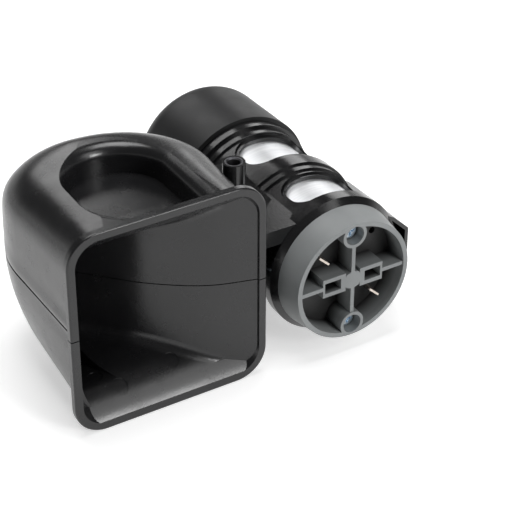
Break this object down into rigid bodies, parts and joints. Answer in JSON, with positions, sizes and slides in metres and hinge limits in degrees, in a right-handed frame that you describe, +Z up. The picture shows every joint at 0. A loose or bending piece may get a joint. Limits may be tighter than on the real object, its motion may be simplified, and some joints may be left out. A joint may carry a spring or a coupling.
{
  "type": "car air horn",
  "caption": "Compact electric air horn: a coiled square-mouthed trumpet in two black shells beside a caged motor and vane pump.",
  "frame": {"origin": "bottom centre of the whole horn's box", "axes": "+Z up, trumpet mouth towards -Y, compressor on the +X side with its axis along Y"},
  "size_m": [0.15, 0.1222, 0.0843],
  "materials": {
    "black_plastic": "moulded, semi-gloss",
    "gray_plastic": "moulded, satin",
    "board": "pressed insulating board",
    "can_steel": "drawn, satin",
    "zinc_steel": "blue zinc plate",
    "terminal_brass": "stamped",
    "ferrite": "sintered",
    "core_steel": "stacked sheet",
    "winding_copper": "lacquered wire",
    "commutator_copper": "turned",
    "shaft_steel": "ground",
    "carbon": "pressed carbon",
    "bronze": "sintered, oiled",
    "pump_alloy": "die cast",
    "filter_foam": "open foam",
    "spring_steel": "rolled spring steel"
  },
  "bodies": {
    "housing": {"air_duct": "black_plastic", "brush_negative": "carbon", "brush_plate": "board", "brush_positive": "carbon", "clamp_ring_high": "pump_alloy", "clamp_ring_low": "pump_alloy", "compressor_cage": "black_plastic", "diaphragm_high": "spring_steel", "diaphragm_low": "spring_steel", "end_cap": "gray_plastic", "flange_screws": "zinc_steel", "front_bush": "bronze", "horn_shell_lower": "black_plastic", "horn_shell_upper": "black_plastic", "inlet_filter": "filter_foam", "magnet_left": "ferrite", "magnet_right": "ferrite", "motor_can": "can_steel", "post_insert": "zinc_steel", "pump_front_plate": "pump_alloy", "pump_lid": "pump_alloy", "pump_ring": "pump_alloy", "pump_screws": "zinc_steel", "rear_bush": "bronze", "rear_cap": "black_plastic", "seat_ring_high": "black_plastic", "seat_ring_low": "black_plastic", "terminal_negative": "terminal_brass", "terminal_positive": "terminal_brass", "tie_screws": "zinc_steel", "tone_divider": "black_plastic"},
    "rotor": {"motor_shaft": "shaft_steel", "armature_core": "core_steel", "armature_windings": "winding_copper", "commutator": "commutator_copper", "pump_rotor": "pump_alloy", "pump_vane_1": "carbon", "pump_vane_2": "carbon", "pump_vane_3": "carbon", "pump_vane_4": "carbon"}
  },
  "joints": [
    {"name": "rotor_spin", "type": "hinge", "parent": "housing", "child": "rotor", "pos_m": [0.04035, -0.01115, 0.0323], "axis": [0, 1, 0], "continuous": true}
  ]
}
